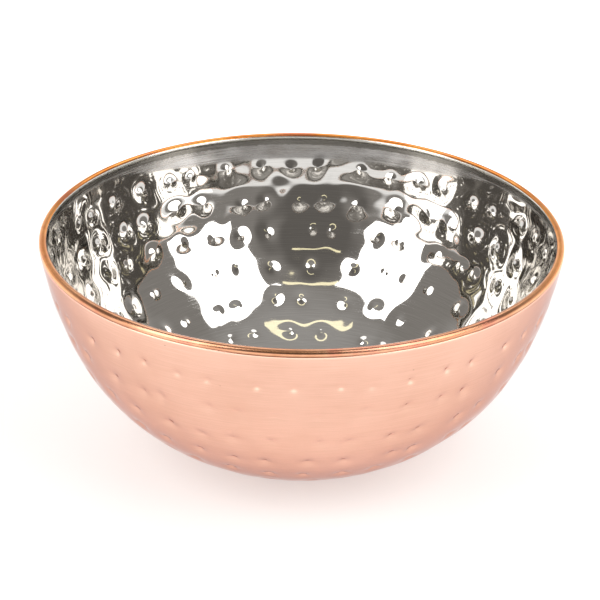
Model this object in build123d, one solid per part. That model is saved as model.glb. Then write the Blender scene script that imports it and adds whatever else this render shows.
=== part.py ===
"""A hammered copper bowl: a steel liner and a copper shell spun to one round profile, nested, and joined
at the top by a wired bead.

Millimetres, +Z up. The origin is the centre of the flat base, on the surface that the bowl stands on.
Every piece is a closed section turned about Z. Sections lie in the XZ plane, with x as the radius, and the
wall hangs from the centre of the bead. The hammer marks, up to about 1.5 mm deep, are left off these walls.
"""

import os
from math import cos, radians, sin

from build123d import *

# Driving dimensions
RIM_DIAMETER = 250.0  # over the outside of the bead
STEEL_SHEET = 0.6  # the liner's thickness
COPPER_SHEET = 0.5  # the shell's thickness, and the rim band's
FIT_GAP = 0.05  # left between one layer and the next
WIRE_RADIUS = 0.9

# The wall's outer face is three arcs that meet at equal slopes, then the flat base. A slope says how far
# the outward normal points below level: 0 is an upright wall, and 90 is the base.
RIM_SLOPE = 9.0
SHELL_TOP_SLOPE = 9.16  # just below the rim band, which leaves a fine seam
FLANK_RADIUS = 205.0
FLANK_END_SLOPE = 21.5
BELLY_RADIUS = 108.0
BELLY_END_SLOPE = 66.0
FOOT_RADIUS = 52.0
BASE_SLOPE = 90.0

# Angles about the bead's centre: 0 points outwards, 90 up and 180 towards the bowl's axis.
BAND_OUTER_EDGE = -22.0  # the seam below the bead, on the outside
BAND_INNER_EDGE = 145.0  # where the copper gives way to bare steel
BAND_FLATS = 10  # how many steps the band is rolled in
CURL_RAW_EDGE = 290.0  # the liner's edge, tucked back against its own wall

# Radii about the bead's centre, from the wire outwards
CURL_INNER = WIRE_RADIUS + FIT_GAP
CURL_OUTER = CURL_INNER + STEEL_SHEET
BAND_INNER = CURL_OUTER + FIT_GAP
BEAD_RADIUS = BAND_INNER + COPPER_SHEET

# How far each hidden or inner face lies behind the bowl's outer face
SHELL_BACK = COPPER_SHEET
LINER_FRONT = SHELL_BACK + FIT_GAP
LINER_BACK = LINER_FRONT + STEEL_SHEET


def normal(slope):
    """The outward normal that points slope degrees below level."""
    return Vector(cos(radians(slope)), 0, -sin(radians(slope)))


# Arc centres measured from the bead's centre, whose height then stands the base on z = 0.
flank_offset = normal(RIM_SLOPE) * (BEAD_RADIUS - FLANK_RADIUS)
belly_offset = flank_offset + normal(FLANK_END_SLOPE) * (FLANK_RADIUS - BELLY_RADIUS)
foot_offset = belly_offset + normal(BELLY_END_SLOPE) * (BELLY_RADIUS - FOOT_RADIUS)
bead_centre = Vector(RIM_DIAMETER / 2 - BEAD_RADIUS, 0, FOOT_RADIUS - foot_offset.Z)
WALL_ARCS = [
    (bead_centre + flank_offset, FLANK_RADIUS, RIM_SLOPE, FLANK_END_SLOPE),
    (bead_centre + belly_offset, BELLY_RADIUS, FLANK_END_SLOPE, BELLY_END_SLOPE),
    (bead_centre + foot_offset, FOOT_RADIUS, BELLY_END_SLOPE, BASE_SLOPE),
]


def wall_face(inset, top_slope=RIM_SLOPE):
    """One face of the wall and the base, as edges from the rim down to the bowl's axis."""
    edges = []
    for centre, arc_radius, start_slope, end_slope in WALL_ARCS:
        start = max(start_slope, top_slope)
        stops = (start, (start + end_slope) / 2, end_slope)
        edges.append(ThreePointArc(*[centre + normal(slope) * (arc_radius - inset) for slope in stops]))
    base_rim = edges[-1] @ 1
    edges.append(Line(base_rim, (0, 0, base_rim.Z)))
    return edges


def bead_point(radius, angle):
    """A point of the bead's section, at a radius and an angle about the bead's centre."""
    return bead_centre + Vector(cos(radians(angle)), 0, sin(radians(angle))) * radius


def bead_arc(radius, start, end):
    """An arc of the bead's section, about the bead's centre."""
    return ThreePointArc(*[bead_point(radius, angle) for angle in (start, (start + end) / 2, end)])


def turned(edges):
    """The solid that a closed section makes when it turns about the bowl's axis."""
    return Solid.revolve(Face(Wire(edges)), 360, Axis.Z)


def inner_bowl():
    """The steel liner, whose top edge curls inwards round the wire and back to its own wall."""
    front = wall_face(LINER_FRONT)
    back = wall_face(LINER_BACK)
    curl_front = bead_arc(CURL_OUTER, -RIM_SLOPE, CURL_RAW_EDGE)
    curl_back = bead_arc(CURL_INNER, -RIM_SLOPE, CURL_RAW_EDGE)
    raw_edge = Line(curl_front @ 1, curl_back @ 1)
    axis_edge = Line(front[-1] @ 1, back[-1] @ 1)
    return turned([*front, *back, curl_front, curl_back, raw_edge, axis_edge])


def outer_shell():
    """The copper shell that backs the liner's whole wall and base."""
    front = wall_face(0, SHELL_TOP_SLOPE)
    back = wall_face(SHELL_BACK, SHELL_TOP_SLOPE)
    top_edge = Line(front[0] @ 0, back[0] @ 0)
    axis_edge = Line(front[-1] @ 1, back[-1] @ 1)
    return turned([*front, *back, top_edge, axis_edge])


def rim_band():
    """The copper strip rolled over the curl in narrow flats, from the seam outside to its edge inside."""
    step = (BAND_INNER_EDGE - BAND_OUTER_EDGE) / BAND_FLATS
    angles = [BAND_OUTER_EDGE + step * index for index in range(BAND_FLATS + 1)]
    front = [bead_point(BEAD_RADIUS, angle) for angle in angles]
    back = [bead_point(BAND_INNER, angle) for angle in reversed(angles)]
    return turned(Polyline(*front, *back, close=True).edges())


def rim_wire():
    """The steel wire that the liner's edge is curled round."""
    ring = Solid.make_torus(bead_centre.X, WIRE_RADIUS)
    return Pos(0, 0, bead_centre.Z) * ring


pieces = {
    "inner_bowl": (inner_bowl(), "gainsboro"),
    "outer_shell": (outer_shell(), "darksalmon"),
    "rim_band": (rim_band(), "chocolate"),
    "rim_wire": (rim_wire(), "slategray"),
}

os.makedirs("parts", exist_ok=True)
for node, (solid, colour) in pieces.items():
    solid.label = node
    solid.color = Color(colour)
    export_step(solid, f"parts/{node}.step")
    print(f"{node}: {solid.volume:.0f} cubic mm")

base_radius = WALL_ARCS[-1][0].X
print(f"height {bead_centre.Z + BEAD_RADIUS:.2f} mm, flat base {2 * base_radius:.2f} mm across")
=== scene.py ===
"""A hammered copper bowl: the looks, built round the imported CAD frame.

Metres, +Z up, the same frame as the CAD. The steel liner, the copper shell and the rim band are rebuilt here
as finer meshes with their hammer marks and rolled edges, and stand for the plain CAD nodes. The rim wire is
the CAD's own, in a better material.
"""

import math
from collections import namedtuple

import bmesh
import bpy
import numpy as np
from mathutils import Matrix, Vector


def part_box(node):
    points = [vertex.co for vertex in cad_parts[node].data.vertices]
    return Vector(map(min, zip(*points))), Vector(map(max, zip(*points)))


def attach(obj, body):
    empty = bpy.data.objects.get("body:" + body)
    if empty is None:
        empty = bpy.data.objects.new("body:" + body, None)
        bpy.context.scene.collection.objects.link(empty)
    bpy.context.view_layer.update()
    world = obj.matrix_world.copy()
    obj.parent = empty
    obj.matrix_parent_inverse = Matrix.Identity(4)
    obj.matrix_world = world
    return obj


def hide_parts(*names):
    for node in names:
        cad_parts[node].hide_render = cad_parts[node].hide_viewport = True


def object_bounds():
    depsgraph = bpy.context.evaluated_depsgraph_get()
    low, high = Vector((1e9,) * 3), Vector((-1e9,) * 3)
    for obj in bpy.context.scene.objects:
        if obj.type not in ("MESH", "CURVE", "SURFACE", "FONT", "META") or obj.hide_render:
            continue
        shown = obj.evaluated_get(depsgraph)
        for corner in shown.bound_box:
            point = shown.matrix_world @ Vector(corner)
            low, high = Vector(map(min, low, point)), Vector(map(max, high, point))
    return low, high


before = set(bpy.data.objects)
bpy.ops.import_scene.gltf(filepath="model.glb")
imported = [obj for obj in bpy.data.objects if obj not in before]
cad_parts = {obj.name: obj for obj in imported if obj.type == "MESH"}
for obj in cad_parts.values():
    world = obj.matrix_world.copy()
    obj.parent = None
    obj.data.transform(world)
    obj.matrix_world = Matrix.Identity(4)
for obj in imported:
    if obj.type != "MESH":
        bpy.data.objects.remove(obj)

CAD_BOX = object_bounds()
BODY = "root"
MM = 0.001

# ---------------------------------------------------------------- sizes
# The bead's centre comes from the frame. The rest repeats the design's sheets, arcs and angles.
WIRE_RADIUS = 0.9 * MM
WIRE_LOW, WIRE_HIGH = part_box("rim_wire")
BEAD_CENTRE = (WIRE_HIGH.x - WIRE_RADIUS, (WIRE_LOW.z + WIRE_HIGH.z) / 2)

STEEL_SHEET = 0.6 * MM
COPPER_SHEET = 0.5 * MM
FIT_GAP = 0.05 * MM

# Radii about the bead's centre, from the wire outwards
CURL_INNER = WIRE_RADIUS + FIT_GAP
CURL_OUTER = CURL_INNER + STEEL_SHEET
BAND_INNER = CURL_OUTER + FIT_GAP
BEAD_RADIUS = BAND_INNER + COPPER_SHEET
RIM_RADIUS = BEAD_CENTRE[0] + BEAD_RADIUS

# How far each face lies behind the bowl's outer face. The two hidden faces of these finer walls stand a
# little further apart than the CAD's, so that the two don't touch.
SHELL_BACK = COPPER_SHEET
LINER_FRONT = SHELL_BACK + FIT_GAP
LINER_BACK = LINER_FRONT + STEEL_SHEET
EXTRA_GAP = 0.02 * MM
HIDDEN_FRONT = LINER_FRONT + EXTRA_GAP
HIDDEN_BACK = SHELL_BACK - EXTRA_GAP

# The wall's arcs: radius, slope where it starts and slope where it ends, in degrees below level.
FLANK = (205.0 * MM, 9.0, 21.5)
BELLY = (108.0 * MM, 21.5, 66.0)
FOOT = (52.0 * MM, 66.0, 90.0)
RIM_SLOPE = FLANK[1]
BASE_SLOPE = FOOT[2]

# Angles about the bead's centre, in degrees: 0 outwards, 90 up, 180 towards the axis.
BAND_OUTER_EDGE = -22.0
BAND_INNER_EDGE = 145.0
CURL_RAW_EDGE = 290.0


# ---------------------------------------------------------------- the wall's profile
Arc = namedtuple("Arc", "centre radius slope down length")


def outward(slope):
    """The section's outward normal, as radius and height parts, at a slope in degrees."""
    turn = np.radians(slope)
    return np.stack([np.cos(turn), -np.sin(turn)], axis=-1)


def wall_arcs():
    """The arcs of the outer face, from the rim down. Each has its centre and radius, the slope where it
    starts, the distance down the wall to there, and its own length."""
    arcs = []
    centre = np.array(BEAD_CENTRE) + outward(RIM_SLOPE) * BEAD_RADIUS
    radius_before = 0.0
    down = 0.0
    for radius, start, end in (FLANK, BELLY, FOOT):
        centre = centre + outward(start) * (radius_before - radius)
        length = radius * math.radians(end - start)
        arcs.append(Arc(centre, radius, start, down, length))
        down += length
        radius_before = radius
    return arcs


ARCS = wall_arcs()
FOOT_ARC = ARCS[-1]
BASE_START = FOOT_ARC.down + FOOT_ARC.length
BASE_RADIUS, FOOT_CENTRE_HEIGHT = FOOT_ARC.centre
BASE_HEIGHT = FOOT_CENTRE_HEIGHT - FOOT_ARC.radius
WALL_LENGTH = BASE_START + BASE_RADIUS


def slope_at(down):
    """The wall's slope in degrees at each distance down."""
    slope = np.full(np.shape(down), BASE_SLOPE)
    for arc in reversed(ARCS):
        inside = down < arc.down + arc.length
        slope = np.where(inside, arc.slope + np.degrees((down - arc.down) / arc.radius), slope)
    return slope


def wall_point(down, inset):
    """Radius and height of the wall, at a distance down and set in from the outer face."""
    down = np.asarray(down, dtype=float)
    slope = slope_at(down)
    point = np.stack([BASE_RADIUS - (down - BASE_START), np.full(down.shape, BASE_HEIGHT)], axis=-1)
    for arc in reversed(ARCS):
        inside = down < arc.down + arc.length
        point = np.where(inside[..., None], arc.centre + outward(slope) * arc.radius, point)
    return point - outward(slope) * inset


def angles_round(columns):
    """The angle of each column of a row, with the first on the camera's side."""
    return np.arange(columns) * 2 * math.pi / columns


# ---------------------------------------------------------------- hammer marks
# The rings of marks: distance down the wall from the rim, how far the ring drops towards the camera's side
# and rises behind, both in millimetres, and the angle of its first mark, in degrees from the camera's side.
RINGS = (
    (17.8, 0.7, 182.8),
    (35.0, 0.3, 5.2),
    (52.9, 2.0, 178.8),
    (71.6, 1.8, 177.0),
    (90.3, 0.9, 177.2),
    (108.6, 0.5, 182.5),
    (126.0, 0.6, 175.0),
    (142.5, 0.4, 180.0),
)
MARK_PITCH = 17.8 * MM
MARK_SEED = 11

# How unevenly the blows fall. A spread is the lowest and the highest.
MISS_ROUND = 0.24  # the most, in pitches
MISS_DOWN = 0.8  # the usual, in millimetres
SWAY_DOWN = 0.6  # of a whole ring, in millimetres
SWAY_WAVES = 5
SIZE_SPREAD = (0.9, 1.15)
FORCE_SPREAD = (0.82, 1.12)
STRETCH_SPREAD = (0.9, 1.12)
LEAN_SPREAD = (0.0, 0.25)
PULL = 1.6 * MM  # the usual, of the hollow off its mark

Blow = namedtuple("Blow", "angle down size force stretch tilt lean pull pull_down")


def mark_list():
    """Every hammer blow: its place, its size and force against the usual, how far it is drawn out and which
    way, how much it leans, and how far the sheet round it is pulled off its centre."""
    rng = np.random.default_rng(MARK_SEED)
    marks = []
    for ring_down, swing, first_angle in RINGS:
        radius = float(wall_point(ring_down * MM, 0.0)[0])
        count = round(2 * math.pi * radius / MARK_PITCH)
        step = 2 * math.pi / count
        sway = rng.uniform(0, 2 * math.pi)
        for index in range(count):
            angle = math.radians(first_angle) + step * (index + rng.uniform(-MISS_ROUND, MISS_ROUND))
            drift = swing * math.cos(angle) + SWAY_DOWN * math.sin(SWAY_WAVES * angle + sway)
            drift += rng.normal(0, MISS_DOWN)
            blow = Blow(
                angle=angle,
                down=(ring_down + drift) * MM,
                size=rng.uniform(*SIZE_SPREAD),
                force=rng.uniform(*FORCE_SPREAD),
                stretch=rng.uniform(*STRETCH_SPREAD),
                tilt=rng.uniform(0, math.pi),
                lean=rng.uniform(*LEAN_SPREAD),
                pull=rng.normal(0, PULL),
                pull_down=rng.normal(0, PULL),
            )
            marks.append(blow)
    return marks


MARKS = mark_list()

# What a usual blow does to one face of the wall: the radius of the mark's round end, the distance over which
# it falls off, its depth, the depth of the hollow round it, and the share of the mark that is left near the
# foot. Then the height of the sheet's fine unevenness.
Face = namedtuple("Face", "core fall depth hollow foot_share uneven")
OUTSIDE = Face(1.2 * MM, 2.0 * MM, 1.1 * MM, 0.1 * MM, 1.0, 0.025 * MM)
BETWEEN = Face(0.95 * MM, 2.2 * MM, 1.1 * MM, 0.15 * MM, 0.95, 0.06 * MM)
INSIDE = Face(0.9 * MM, 2.7 * MM, 1.05 * MM, 0.2 * MM, 0.74, 0.085 * MM)

REACH = 20 * MM  # no blow is felt further off
HOLLOW_WIDTH = 6.5 * MM
FADING = (30 * MM, 75 * MM)  # where the marks lessen, as distances down
SIZE_POWER = 1.2  # how much faster the size lessens than the depth
TOP_RINGS = (20 * MM, 34 * MM)  # from the first ring to the second, as distances down
TOP_SIZE = 0.72  # the first ring's, against the rest
TOP_HOLLOW = 0.4  # the same, for the hollow round it

WAVES = 40
BROAD_HEIGHT = 0.02 * MM
BROAD_WAVES = (24 * MM, 80 * MM)  # the shortest and the longest
BROAD_SEED = 5
FINE_WAVES = (9 * MM, 22 * MM)
FINE_SEED = 6
FINE_FADING = (40 * MM, 80 * MM)  # where the fine unevenness lessens, as distances down
FINE_FOOT_SHARE = 0.3
TYPICAL_RADIUS = 0.75  # the wall's, against the rim's
CALM_RIM = 8 * MM
CALM_BASE = 12 * MM


def dent(down, columns, face):
    """How far each grid point of a face is driven in. A blow leaves a round-ended cone in the sheet, within
    a wide soft hollow where the sheet was drawn in. The cones get smaller towards the foot. The first
    ring's are smaller too, in shallower hollows."""
    field = np.zeros((len(down), columns))
    angles = angles_round(columns)
    radii = wall_point(down, 0.0)[:, 0]
    for blow in MARKS:
        rows = np.nonzero(np.abs(down - blow.down) < REACH)[0]
        if not len(rows):
            continue
        turn = np.angle(np.exp(1j * (angles - blow.angle)))
        across = turn[None, :] * radii[rows, None]
        near = np.nonzero(np.abs(across).min(axis=0) < REACH)[0]
        across = across[:, near]
        along = (down[rows] - blow.down)[:, None]

        share = float(np.interp(blow.down, FADING, (1, face.foot_share)))
        size = blow.size * share**SIZE_POWER * float(np.interp(blow.down, TOP_RINGS, (TOP_SIZE, 1.0)))
        cosine = math.cos(blow.tilt)
        sine = math.sin(blow.tilt)
        long_way = (across * cosine + along * sine) / (size * blow.stretch)
        short_way = (along * cosine - across * sine) * blow.stretch / size
        distance = np.sqrt(long_way**2 + short_way**2 + face.core**2) - face.core
        cone = face.depth * blow.force * share * np.exp(-distance / face.fall)
        cone = cone * (1 + blow.lean * np.tanh(long_way / face.fall) * np.exp(-distance / face.fall))

        square = (across - blow.pull) ** 2 + (along - blow.pull_down) ** 2
        shallow = float(np.interp(blow.down, TOP_RINGS, (TOP_HOLLOW, 1.0)))
        hollow = face.hollow * shallow * blow.force * np.exp(-square / HOLLOW_WIDTH**2)
        edge = 1 - np.clip((across**2 + along**2) / REACH**2, 0, 1)
        field[np.ix_(rows, near)] += (cone + hollow) * edge**2
    return field


def waviness(down, columns, height, shortest, longest, seed):
    """A random unevenness of the planished sheet, from waves of these lengths that run every way."""
    rng = np.random.default_rng(seed)
    angles = angles_round(columns)
    field = np.zeros((len(down), columns))
    for _ in range(WAVES):
        wave = 2 * math.pi / rng.uniform(shortest, longest)
        heading = rng.uniform(0, 2 * math.pi)
        around = round(wave * math.cos(heading) * RIM_RADIUS * TYPICAL_RADIUS)
        rise = wave * math.sin(heading) * down + rng.uniform(0, 2 * math.pi)
        field += np.sin(around * angles[None, :] + rise[:, None])
    return field * height / math.sqrt(WAVES / 2)


def calm_edges(down):
    """1 over the hammered wall, falling to 0 at the rim and at the base, which lie true."""
    return np.clip(down / CALM_RIM, 0, 1) * np.clip((BASE_START - down) / CALM_BASE, 0, 1)


# ---------------------------------------------------------------- mesh building
COLUMNS = 864  # round the rim; halved each time that the columns have drawn to half as far apart
HIDDEN_COLUMNS = COLUMNS // 2
FEWEST_COLUMNS = 27
FINE_SPACING = 0.9 * MM  # between rows
HIDDEN_SPACING = 1.8 * MM
BASE_ROWS = 14


class Skin:
    """Rows of points round the axis, joined into one closed mesh. A row has as many columns as the row
    before it, twice as many or half as many."""

    def __init__(self):
        self.points = []
        self.down = []
        self.faces = []
        self.total = 0
        self.first = None
        self.last = None

    def add_points(self, points, down):
        """Stores the points of a row or a pole, and joins them to the ones before."""
        numbers = np.arange(self.total, self.total + len(points))
        self.points.append(points)
        self.down.append(np.full(len(points), down))
        self.total += len(points)
        if self.last is None:
            self.first = numbers
        else:
            self.join(self.last, numbers)
        self.last = numbers

    def add_row(self, radius, height, down, columns):
        """One row round the axis. radius and height are numbers, or have one value for each column."""
        angles = angles_round(columns)
        row = np.empty((columns, 3))
        row[:, 0] = radius * np.sin(angles)
        row[:, 1] = -radius * np.cos(angles)
        row[:, 2] = height
        self.add_points(row, down)

    def add_rows(self, rows):
        """Several rows, each as radius, height, distance down and columns."""
        for row in rows:
            self.add_row(*row)

    def add_pole(self, height, down):
        """A point on the axis, which starts or ends a skin."""
        self.add_points(np.array([[0.0, 0.0, height]]), down)

    def join(self, here, there):
        """Faces between two rows, or between a row and a pole. They have five sides where the columns halve
        or double."""
        if len(here) == len(there):
            quads = [here, there, np.roll(there, -1), np.roll(here, -1)]
            self.faces += np.stack(quads, axis=1).tolist()
            return
        fine, coarse = (here, there) if len(here) > len(there) else (there, here)
        if len(coarse) == 1:
            sides = [fine, np.roll(fine, -1), np.full(len(fine), coarse[0])]
        else:
            sides = [fine[0::2], fine[1::2], np.roll(fine, -2)[0::2], np.roll(coarse, -1), coarse]
        self.faces += np.stack(sides, axis=1).tolist()

    def close(self):
        """Joins the last row to the first, for a ring."""
        self.join(self.last, self.first)

    def build(self, name):
        """The finished object. Each point keeps its distance down the wall as the attribute down."""
        mesh = bpy.data.meshes.new(name)
        mesh.from_pydata(np.concatenate(self.points).tolist(), [], self.faces)
        down = mesh.attributes.new("down", "FLOAT", "POINT")
        down.data.foreach_set("value", np.concatenate(self.down).astype(np.float32))
        shape = bmesh.new()
        shape.from_mesh(mesh)
        bmesh.ops.recalc_face_normals(shape, faces=shape.faces)
        shape.to_mesh(mesh)
        shape.free()
        mesh.polygons.foreach_set("use_smooth", [True] * len(mesh.polygons))
        piece = bpy.data.objects.new(name, mesh)
        bpy.context.scene.collection.objects.link(piece)
        return piece


def columns_at(radius, most):
    """How many columns a row of this radius has."""
    columns = most
    while radius < RIM_RADIUS / 2 and columns > FEWEST_COLUMNS:
        radius *= 2
        columns //= 2
    return columns


def stations(spacing):
    """Distances down the wall from the rim to nearly the base's centre. The flat base has few."""
    wall = np.linspace(0, BASE_START, round(BASE_START / spacing) + 1)
    base = np.linspace(BASE_START, WALL_LENGTH, BASE_ROWS + 2)[1:-1]
    return np.concatenate([wall, base])


def hammered_rows(down, inset, most_columns, face):
    """The rows of one face of the wall, driven in by the blows, as Skin.add_rows takes them."""
    radii = wall_point(down, 0.0)[:, 0]
    counts = np.array([columns_at(radius, most_columns) for radius in radii])
    rows = [None] * len(down)
    for columns in np.unique(counts):
        chosen = np.nonzero(counts == columns)[0]
        here = down[chosen]
        fine_share = np.interp(here, FINE_FADING, (1.0, FINE_FOOT_SHARE))[:, None]
        uneven = waviness(here, columns, BROAD_HEIGHT, *BROAD_WAVES, BROAD_SEED)
        uneven += waviness(here, columns, face.uneven, *FINE_WAVES, FINE_SEED) * fine_share
        driven = dent(here, columns, face) + uneven * calm_edges(here)[:, None]
        normals = outward(slope_at(here))
        plain = wall_point(here, inset)
        for index, number in enumerate(chosen):
            radius = plain[index, 0] - normals[index, 0] * driven[index]
            height = plain[index, 1] - normals[index, 1] * driven[index]
            rows[number] = (radius, height, down[number], columns)
    return rows


# ---------------------------------------------------------------- the liner
CURL_DOWN = -1.0 * MM  # marks the curl's points, for the material
CURL_INNER_START = 8.0  # degrees; the wall's top row comes before it
CURL_OUTER_START = 6.0
CURL_INNER_STEP = 14.0
CURL_OUTER_STEP = 8.0


def add_curl(skin, radius, start, end, step):
    """Rows along an arc of the liner's curl, from one angle about the bead's centre to another."""
    count = round(abs(end - start) / step) + 1
    for angle in np.radians(np.linspace(start, end, count)):
        reach = BEAD_CENTRE[0] + radius * np.cos(angle)
        height = BEAD_CENTRE[1] + radius * np.sin(angle)
        skin.add_row(reach, height, CURL_DOWN, HIDDEN_COLUMNS)


def make_liner():
    """The steel liner, from the base's inner centre up the bright inner face, round the curl, and back down
    its hidden outer face."""
    skin = Skin()
    inner = hammered_rows(stations(FINE_SPACING), LINER_BACK, COLUMNS, INSIDE)
    hidden = hammered_rows(stations(HIDDEN_SPACING), HIDDEN_FRONT, HIDDEN_COLUMNS, BETWEEN)
    skin.add_pole(wall_point(WALL_LENGTH, LINER_BACK)[1], WALL_LENGTH)
    skin.add_rows(inner[::-1])
    add_curl(skin, CURL_INNER, CURL_INNER_START, CURL_RAW_EDGE, CURL_INNER_STEP)
    add_curl(skin, CURL_OUTER, CURL_RAW_EDGE, CURL_OUTER_START, CURL_OUTER_STEP)
    skin.add_rows(hidden)
    skin.add_pole(wall_point(WALL_LENGTH, HIDDEN_FRONT)[1], WALL_LENGTH)
    return skin.build("hammered_liner")


# ---------------------------------------------------------------- the shell
SHELL_TOP = 0.58 * MM  # where the shell's edge begins, below the rim band
SHELL_EDGE = ((0.36, 0.0), (0.2, 0.05), (0.08, 0.16), (0.02, 0.32))  # inset and distance down, in mm
SHELL_WALL = SHELL_TOP + 0.4 * MM  # where the hammered rows begin


def make_shell():
    """The copper shell, from the base's outer centre up the dimpled face, over its rounded top edge, and
    down its hidden inner face."""
    skin = Skin()
    fine = stations(FINE_SPACING)
    fine = fine[fine > SHELL_WALL]
    hidden = stations(HIDDEN_SPACING)
    hidden = hidden[hidden > SHELL_WALL]
    skin.add_pole(wall_point(WALL_LENGTH, 0.0)[1], WALL_LENGTH)
    skin.add_rows(hammered_rows(fine, 0.0, COLUMNS, OUTSIDE)[::-1])
    for inset, below in reversed(SHELL_EDGE):
        radius, height = wall_point(SHELL_TOP + below * MM, inset * MM)
        skin.add_row(radius, height, SHELL_TOP, COLUMNS)
    radius, height = wall_point(SHELL_TOP, HIDDEN_BACK)
    skin.add_row(radius, height, SHELL_TOP, HIDDEN_COLUMNS)
    skin.add_rows(hammered_rows(hidden, HIDDEN_BACK, HIDDEN_COLUMNS, BETWEEN))
    skin.add_pole(wall_point(WALL_LENGTH, HIDDEN_BACK)[1], WALL_LENGTH)
    return skin.build("dimpled_shell")


# ---------------------------------------------------------------- the rim band
BAND_SLACK = 0.045 * MM  # keeps the smooth band inside the CAD band's flats
BAND_COLUMNS = COLUMNS // 2
BAND_FRONT_ROWS = 34
BAND_BACK_ROWS = 12
EDGE_TURN = 3.0  # degrees over which an edge rounds off, on either side of it
SEAM_TURN = 2.0  # the same, past the seam's edge
EDGE_FALL = 0.06 * MM  # how far the front has fallen at an edge
EDGE_TIP = 0.16 * MM  # how far an edge's tip stands off the back
WANDER_SEED = 23
WANDER_WAVES = (3, 7, 12, 19, 31)  # how often the inner edge wanders, round the rim
WANDER_PHASE = 6.28  # the highest, in radians
WANDER = 2.0  # degrees about the bead's centre
WANDER_POWER = 3  # how fast it dies away towards the seam


def make_band():
    """The rolled copper band, with softened edges. Its inner edge wanders a little, as a hand-rolled edge
    does. The attribute down counts the angle about the bead's centre here, a degree as a millimetre."""
    skin = Skin()
    angles = angles_round(BAND_COLUMNS)
    rng = np.random.default_rng(WANDER_SEED)
    wander = np.zeros(BAND_COLUMNS)
    for wave in WANDER_WAVES:
        wander += np.sin(wave * angles + rng.uniform(0, WANDER_PHASE)) / math.sqrt(wave)
    outer = BEAD_RADIUS - BAND_SLACK
    front = np.linspace(BAND_OUTER_EDGE + EDGE_TURN, BAND_INNER_EDGE - EDGE_TURN, BAND_FRONT_ROWS)
    back = np.linspace(BAND_INNER_EDGE, BAND_OUTER_EDGE, BAND_BACK_ROWS)
    section = [(outer, angle) for angle in front]
    section.append((outer - EDGE_FALL, BAND_INNER_EDGE))
    section.append((BAND_INNER + EDGE_TIP, BAND_INNER_EDGE + EDGE_TURN))
    section += [(BAND_INNER, angle) for angle in back]
    section.append((BAND_INNER + EDGE_TIP, BAND_OUTER_EDGE - SEAM_TURN))
    section.append((outer - EDGE_FALL, BAND_OUTER_EDGE))
    for radius, angle in section:
        share = (angle - BAND_OUTER_EDGE) / (BAND_INNER_EDGE - BAND_OUTER_EDGE)
        turn = np.radians(angle + WANDER * wander * share**WANDER_POWER)
        reach = BEAD_CENTRE[0] + radius * np.cos(turn)
        height = BEAD_CENTRE[1] + radius * np.sin(turn)
        skin.add_row(reach, height, angle * MM, BAND_COLUMNS)
    skin.close()
    return skin.build("rolled_rim_band")


liner = make_liner()
shell = make_shell()
band = make_band()


# ---------------------------------------------------------------- materials
class Nodes:
    """A node tree, with short ways to add nodes and link them."""

    def __init__(self, tree):
        self.tree = tree

    def add(self, kind, settings=None, **inputs):
        """A node with its settings, its inputs set to values or linked from other nodes' outputs."""
        node = self.tree.nodes.new(kind)
        for name, value in (settings or {}).items():
            setattr(node, name, value)
        for name, value in inputs.items():
            self.put(node, name.replace("_", " "), value)
        return node

    def put(self, node, name, value):
        """Sets or links one input, found by its name or, as i0, i1 and so on, by its place."""
        by_place = name[0] == "i" and name[1:].isdigit()
        socket = node.inputs[int(name[1:]) if by_place else name]
        if isinstance(value, bpy.types.NodeSocket):
            self.tree.links.new(value, socket)
        elif socket.type == "RGBA":
            socket.default_value = (*value, 1)
        else:
            socket.default_value = value

    def math(self, operation, *values):
        """The result of a Math node."""
        places = {f"i{place}": value for place, value in enumerate(values)}
        return self.add("ShaderNodeMath", {"operation": operation}, **places).outputs[0]

    def vector(self, operation, *values):
        """The result of a Vector Math node, which is a number for a length or a dot product."""
        places = {f"i{place}": value for place, value in enumerate(values)}
        node = self.add("ShaderNodeVectorMath", {"operation": operation}, **places)
        return node.outputs["Value" if operation in ("LENGTH", "DOT_PRODUCT") else "Vector"]

    def ramp(self, value, low, high, to_low=0.0, to_high=1.0):
        """A value moved from one range to another, held at the ends."""
        node = self.add("ShaderNodeMapRange", {"interpolation_type": "SMOOTHSTEP"}, Value=value)
        node.inputs["From Min"].default_value = low
        node.inputs["From Max"].default_value = high
        node.inputs["To Min"].default_value = to_low
        node.inputs["To Max"].default_value = to_high
        return node.outputs["Result"]

    def blend(self, factor, first, second):
        """A mix of two colours."""
        return self.add("ShaderNodeMix", {"data_type": "RGBA"}, i0=factor, i6=first, i7=second).outputs[2]


# Where the ramps on a noise begin and end: it seldom leaves the wider range.
NOISE_MIDDLE = (0.35, 0.65)
NOISE_WIDE = (0.3, 0.7)
FALLING = (1.0, 0.0)  # for a ramp that goes down


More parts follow.
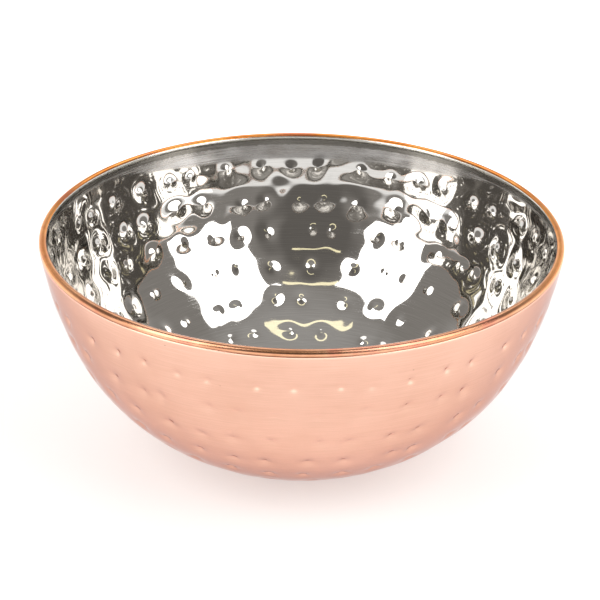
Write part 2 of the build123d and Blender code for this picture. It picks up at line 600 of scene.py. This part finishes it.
class Shader(Nodes):
    """A material, with the patterns that the bowl's surfaces share."""

    def __init__(self, name):
        self.material = bpy.data.materials.new(name)
        self.material.use_nodes = True
        super().__init__(self.material.node_tree)
        self.surface = self.tree.nodes["Principled BSDF"]

    def place(self):
        """The point of the object that is shaded."""
        return self.add("ShaderNodeTexCoord").outputs["Object"]

    def back(self):
        """How far behind the bowl's axis the point lies."""
        return self.add("ShaderNodeSeparateXYZ", Vector=self.place()).outputs["Y"]

    def down(self):
        """The attribute down of the point."""
        return self.add("ShaderNodeAttribute", {"attribute_name": "down"}).outputs["Fac"]

    def noise(self, vector, scale, detail=3.0, roughness=0.55):
        """Cloudy noise from 0 to 1."""
        node = self.add("ShaderNodeTexNoise", Vector=vector, Scale=scale, Detail=detail, Roughness=roughness)
        return node.outputs["Fac"]

    def turned_lines(self, along, across, detail=2.0):
        """Noise drawn out along the way that the bowl turned on the lathe: along by across, in metres."""
        level = self.vector("NORMALIZE", self.vector("MULTIPLY", self.place(), (1, 1, 0)))
        size = RIM_RADIUS / along
        spread = self.vector("MULTIPLY", level, (size, size, 0))
        lift = self.add("ShaderNodeCombineXYZ", Z=self.math("DIVIDE", self.down(), across)).outputs[0]
        return self.noise(self.vector("ADD", spread, lift), 1.0, detail)

    def bump(self, height, distance):
        """A normal bent by a height from 0 to 1, which stands for this distance."""
        return self.add("ShaderNodeBump", Height=height, Distance=distance).outputs["Normal"]

    def finish(self, **inputs):
        """Sets or links the surface's inputs, and returns the material."""
        for name, value in inputs.items():
            self.put(self.surface, name.replace("_", " "), value)
        return self.material


STRIP_BACK = (70 * MM, 115 * MM)  # how far back the brushed strip widens
STRIP_WIDTH = (4.5 * MM, 11 * MM)
STRIP_EDGE = 2 * MM
# A painted shade in the corner below the bead: where it begins, where its ragged lower edge ends, how ragged
# that edge is, and how dark the shade is.
SHADE_START = 1 * MM
SHADE_END = (2.8 * MM, 3.6 * MM)
SHADE_RAGGEDNESS = 2.4 * MM
SHADE_STRENGTH = 0.75
CURL_FADE = (-0.9 * MM, -0.1 * MM)
HAIR_LEVELS = (0.60, 0.72)  # where the noise that makes the scratches lets them in

MIRROR_COLOURS = ((0.60, 0.58, 0.55), (0.66, 0.64, 0.61))
BRUSHED_COLOURS = ((0.38, 0.365, 0.35), (0.48, 0.465, 0.45))
# The colour of the painted shade below the bead.
PAINTED_SHADE_COLOUR = (0.16, 0.15, 0.13)
CURL_COLOUR = (0.76, 0.75, 0.71)
MIRROR_ROUGHNESS = (0.04, 0.11)  # between the scratches and on them
BRUSHED_ROUGHNESS = (0.2, 0.3)
LINE_SHARES = (0.03, 0.2)  # of the lines' height, on the mirror and on the strip
STEEL_LINES = 0.02 * MM


def polished_steel():
    """Mirror steel with fine turning scratches. It is brushed in a strip under the rim, widest behind, and
    a dark painted shade, with a ragged lower edge, lies in the corner below the bead."""
    s = Shader("polished_steel")
    strip_end = s.ramp(s.back(), *STRIP_BACK, *STRIP_WIDTH)
    brushed = s.ramp(s.math("SUBTRACT", s.down(), strip_end), 0, STRIP_EDGE, *FALLING)
    # A painted shade darkens the corner below the bead. Noise makes its lower edge ragged.
    ragged_edge = s.noise(s.place(), scale=420.0, detail=4.0, roughness=0.7)
    below_bead = s.math("SUBTRACT", s.down(), s.math("MULTIPLY", ragged_edge, SHADE_RAGGEDNESS))
    corner = s.ramp(below_bead, *SHADE_END, *FALLING)
    corner = s.math("MULTIPLY", corner, s.ramp(s.down(), 0, SHADE_START))
    painted_shade = s.math("MULTIPLY", corner, SHADE_STRENGTH)
    curl = s.ramp(s.down(), *CURL_FADE, *FALLING)

    streaks = s.turned_lines(along=30 * MM, across=0.35 * MM)
    streak_tone = s.ramp(streaks, *NOISE_MIDDLE)
    mirror = s.blend(streak_tone, *MIRROR_COLOURS)
    dulled = s.blend(streak_tone, *BRUSHED_COLOURS)
    colour = s.blend(brushed, mirror, dulled)
    colour = s.blend(painted_shade, colour, PAINTED_SHADE_COLOUR)
    colour = s.blend(curl, colour, CURL_COLOUR)

    hairs = s.ramp(s.turned_lines(along=18 * MM, across=0.22 * MM, detail=1.0), *HAIR_LEVELS)
    rough_mirror = s.ramp(hairs, 0, 1, *MIRROR_ROUGHNESS)
    rough_brushed = s.ramp(streaks, *NOISE_WIDE, *BRUSHED_ROUGHNESS)
    rough = s.add("ShaderNodeMix", i0=brushed, i2=rough_mirror, i3=rough_brushed).outputs[0]
    lines = s.math("MULTIPLY", streaks, s.ramp(brushed, 0, 1, *LINE_SHARES))
    normal = s.bump(lines, STEEL_LINES)
    return s.finish(Base_Color=colour, Metallic=1.0, Roughness=rough, Normal=normal)


SATIN_COLOURS = ((0.77, 0.455, 0.34), (0.84, 0.515, 0.398))
PIT_COLOUR = (0.25, 0.10, 0.06)
PIT_SIZE = (0.05, 0.10)  # a pit's core and edge, against the distance between pits
PIT_PATCHES = (0.62, 0.7)  # where the noise that gathers the pits lets them in
LACQUER_TINT = (0.75, 0.64, 0.64)
SATIN_ROUGHNESS = (0.06, 0.11)
SATIN_LINES = 0.008 * MM


def satin_copper():
    """Lacquered copper, brushed fine on the lathe, a little uneven in tone, with a few dark pits."""
    s = Shader("satin_copper")
    streaks = s.turned_lines(along=25 * MM, across=0.3 * MM)
    cloud = s.noise(s.place(), scale=28.0)
    tone = s.math("MULTIPLY", s.math("ADD", streaks, cloud), 0.5)
    colour = s.blend(s.ramp(tone, *NOISE_MIDDLE), *SATIN_COLOURS)
    spots = s.add("ShaderNodeTexVoronoi", Vector=s.place(), Scale=240.0).outputs["Distance"]
    patches = s.ramp(s.noise(s.place(), scale=40.0), *PIT_PATCHES)
    pits = s.math("MULTIPLY", s.ramp(spots, *PIT_SIZE, *FALLING), patches)
    colour = s.blend(pits, colour, PIT_COLOUR)
    rough = s.ramp(tone, *NOISE_WIDE, *SATIN_ROUGHNESS)
    normal = s.bump(streaks, SATIN_LINES)
    s.finish(Coat_Weight=0.1, Coat_Roughness=0.12, Specular_Tint=LACQUER_TINT)
    return s.finish(Base_Color=colour, Metallic=1.0, Roughness=rough, Normal=normal)


BEAD_COLOURS = ((0.65, 0.22, 0.045), (0.78, 0.315, 0.08))
# The colours of the painted shade on the front of the bead.
FRONT_SHADE_COLOURS = ((0.50, 0.235, 0.13), (0.62, 0.33, 0.20))
FRONT_SHADE_BACK = (-100 * MM, -20 * MM)  # how far back the painted shade on the front gives way to the bright bead
HEAT_COLOUR = (0.54, 0.15, 0.12)
HEAT_PATCHES = (0.54, 0.66)  # where the noise that makes the tints lets them in
HEAT_MOST = 0.42
BEAD_ROUGHNESS = (0.10, 0.22)
BEAD_LINES = 0.015 * MM


def polished_copper():
    """The bead's bright copper, deeper in tone, with a painted shade that makes it browner along the front,
    and with drawn-out polishing lines and faint heat tints."""
    s = Shader("polished_copper")
    cloud = s.ramp(s.noise(s.place(), scale=60.0), *NOISE_MIDDLE)
    front_shade = s.blend(cloud, *FRONT_SHADE_COLOURS)
    bright = s.blend(cloud, *BEAD_COLOURS)
    # Painted shade: the bead is browner towards the front.
    colour = s.blend(s.ramp(s.back(), *FRONT_SHADE_BACK), front_shade, bright)
    heat = s.ramp(s.noise(s.place(), scale=38.0, detail=4.0), *HEAT_PATCHES, 0.0, HEAT_MOST)
    colour = s.blend(heat, colour, HEAT_COLOUR)
    streaks = s.turned_lines(along=14 * MM, across=0.5 * MM)
    rough = s.ramp(streaks, *NOISE_WIDE, *BEAD_ROUGHNESS)
    normal = s.bump(streaks, BEAD_LINES)
    return s.finish(Base_Color=colour, Metallic=1.0, Roughness=rough, Normal=normal)


WIRE_COLOUR = (0.45, 0.44, 0.43)
WIRE_ROUGHNESS = (0.3, 0.45)


def drawn_steel():
    """The plain wire inside the bead."""
    s = Shader("drawn_steel")
    rough = s.ramp(s.noise(s.place(), scale=900.0, detail=2.0), *NOISE_WIDE, *WIRE_ROUGHNESS)
    return s.finish(Base_Color=WIRE_COLOUR, Metallic=1.0, Roughness=rough)


def dress(piece, material, node):
    """Puts a finished piece in place of its CAD node."""
    piece.data.materials.append(material)
    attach(piece, BODY)
    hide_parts(node)


dress(liner, polished_steel(), "inner_bowl")
dress(shell, satin_copper(), "outer_shell")
dress(band, polished_copper(), "rim_band")

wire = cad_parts["rim_wire"]
wire_steel = drawn_steel()
for wire_slot in wire.material_slots:
    wire_slot.link = "OBJECT"
    wire_slot.material = wire_steel


# ---------------------------------------------------------------- the floor
FLOOR_RADIUS = 7.0
FLOOR_SIDES = 96
FLOOR_DROP = 0.05 * MM  # keeps it off the base
FLOOR_COLOUR = (0.58, 0.58, 0.58)
GLOW_NEAR = (0.035, 0.1, 0.45, 0.465)  # distances in metres, then the glow at each
GLOW_FAR = (0.19, 0.42, 0.0, 0.8)  # the same, added to it


def make_floor():
    """A plain pale floor, which glows, and more so away from the bowl, so that it stays pale into the
    distance."""
    mesh = bpy.data.meshes.new("floor")
    shape = bmesh.new()
    bmesh.ops.create_circle(shape, cap_ends=True, radius=FLOOR_RADIUS, segments=FLOOR_SIDES)
    shape.to_mesh(mesh)
    shape.free()
    floor = bpy.data.objects.new("floor", mesh)
    floor.location.z = CAD_BOX[0][2] - FLOOR_DROP
    bpy.context.scene.collection.objects.link(floor)
    s = Shader("pale_floor")
    distance = s.vector("LENGTH", s.place())
    glow = s.math("ADD", s.ramp(distance, *GLOW_NEAR), s.ramp(distance, *GLOW_FAR))
    s.finish(Base_Color=FLOOR_COLOUR, Roughness=0.7, Specular_IOR_Level=0.2)
    s.finish(Emission_Color=(1, 1, 1), Emission_Strength=glow)
    mesh.materials.append(s.material)


# ---------------------------------------------------------------- lights
# Soft rectangular lights that face the bowl. A radiance of 1 shows as white.
Softbox = namedtuple("Softbox", "name azimuth elevation size radiance")
SOFTBOXES = (
    Softbox("softbox_left", -56, 39, (0.74, 0.95), 3.6),
    Softbox("card_left", -65, 13, (0.6, 0.3), 1.5),
    Softbox("softbox_right", 56, 43, (0.85, 1.04), 3.6),
    Softbox("card_right", 60, 10.5, (0.6, 0.18), 1.3),
    Softbox("softbox_back", 180, 58, (1.3, 0.65), 1.4),
)
SOFTBOX_DISTANCE = 1.3

# Long warm lamps under the ceiling, which lie along X and face the bowl: how far each hangs towards the
# camera, and how far along X.
CEILING_TUBES = ((2.9, -0.6), (1.5, -0.2), (0.31, -0.15))
TUBE_HEIGHT = 2.2
TUBE_SIZE = (1.25, 0.12)
TUBE_COLOUR = (1.0, 0.92, 0.58)
TUBE_RADIANCE = 1.3


def toward(azimuth, elevation):
    """A direction from the bowl: azimuth 0 is the camera's side and 90 is +X."""
    turn = math.radians(azimuth)
    lift = math.radians(elevation)
    return Vector((math.sin(turn) * math.cos(lift), -math.cos(turn) * math.cos(lift), math.sin(lift)))


def light_panel(name, size, radiance):
    """A rectangular light, still to be placed."""
    lamp = bpy.data.lights.new(name, "AREA")
    lamp.shape = "RECTANGLE"
    lamp.size, lamp.size_y = size
    lamp.energy = radiance * math.pi * size[0] * size[1]
    panel = bpy.data.objects.new(name, lamp)
    bpy.context.scene.collection.objects.link(panel)
    return panel


def make_lights():
    """The softboxes round the bowl and the tubes under the ceiling."""
    for box in SOFTBOXES:
        panel = light_panel(box.name, box.size, box.radiance)
        away = toward(box.azimuth, box.elevation)
        panel.location = away * SOFTBOX_DISTANCE
        panel.rotation_euler = away.to_track_quat("Z", "Y").to_euler()
    for number, (ahead, aside) in enumerate(CEILING_TUBES):
        panel = light_panel(f"ceiling_tube_{number}", TUBE_SIZE, TUBE_RADIANCE)
        panel.data.color = TUBE_COLOUR
        panel.location = (aside, -ahead, TUBE_HEIGHT)
        panel.rotation_euler.x = math.atan2(ahead, TUBE_HEIGHT)


# ---------------------------------------------------------------- the room
# Its colours, and the range over which each comes in, by how far a direction from the bowl points that way:
# 1 is straight there, 0 is square to it and -1 is straight away.
ROOM_GREY = (0.31, 0.295, 0.28)
ROOM_TOP = (0.45, 0.44, 0.43)
TOP_RANGE = (0.75, 1.0)
ROOM_BACK = (0.68, 0.67, 0.66)
BACK_RANGE = (0.15, 0.75)
ROOM_DARK = (0.17, 0.16, 0.15)
DARK_MIDDLE = toward(-6, 26)
DARK_RANGE = (0.86, 0.97)
LOW_FRONT = (1.2, 1.2, 1.2)
LOW_BACK = (1.15, 1.15, 1.15)
LOW_BACK_RANGE = (-0.5, 0.8)
HORIZON_RANGE = (0.28, 0.24)  # upwards, below which the room is pale
HORIZON_TILT = -0.105  # raises that behind, and lowers it in front


def make_world():
    """The room: warm grey, lighter behind the bowl and overhead, pale low down all round, and dark where
    the camera stands."""
    world = bpy.data.worlds.new("studio")
    bpy.context.scene.world = world
    world.use_nodes = True
    w = Nodes(world.node_tree)
    way = w.add("ShaderNodeTexCoord").outputs["Generated"]
    parts = w.add("ShaderNodeSeparateXYZ", Vector=way).outputs
    to_dark = w.vector("DOT_PRODUCT", way, DARK_MIDDLE)
    above_horizon = w.math("MULTIPLY_ADD", parts["Y"], HORIZON_TILT, parts["Z"])
    room = w.blend(w.ramp(parts["Z"], *TOP_RANGE), ROOM_GREY, ROOM_TOP)
    room = w.blend(w.ramp(parts["Y"], *BACK_RANGE), room, ROOM_BACK)
    room = w.blend(w.ramp(to_dark, *DARK_RANGE), room, ROOM_DARK)
    low = w.blend(w.ramp(parts["Y"], *LOW_BACK_RANGE), LOW_FRONT, LOW_BACK)
    room = w.blend(w.ramp(above_horizon, *HORIZON_RANGE), room, low)
    w.put(w.tree.nodes["Background"], "Color", room)


# ---------------------------------------------------------------- the camera
CAMERA_LENS = 125.0
CAMERA_DISTANCE = 7.965 * RIM_RADIUS  # from the rim's centre
CAMERA_ELEVATION = 24.61
CAMERA_ROLL = math.radians(0.82)
CAMERA_ASIDE = -0.4 * MM
AIM_HEIGHT = 0.654 * (CAD_BOX[1][2] - CAD_BOX[0][2])


def make_camera():
    """The camera stands four bowl widths away and looks down on the bowl, tilted very slightly."""
    lens = bpy.data.cameras.new("camera")
    lens.lens = CAMERA_LENS
    camera = bpy.data.objects.new("camera", lens)
    rim_centre = Vector((CAMERA_ASIDE, 0, BEAD_CENTRE[1]))
    camera.location = rim_centre + toward(0, CAMERA_ELEVATION) * CAMERA_DISTANCE
    aim = Vector((CAMERA_ASIDE, 0, AIM_HEIGHT))
    look = (aim - camera.location).to_track_quat("-Z", "Y").to_matrix().to_4x4()
    camera.matrix_world = Matrix.Translation(camera.location) @ look @ Matrix.Rotation(CAMERA_ROLL, 4, "Z")
    bpy.context.scene.collection.objects.link(camera)
    bpy.context.scene.camera = camera


make_floor()
make_world()
make_lights()
make_camera()
bpy.context.scene.view_settings.view_transform = "Standard"
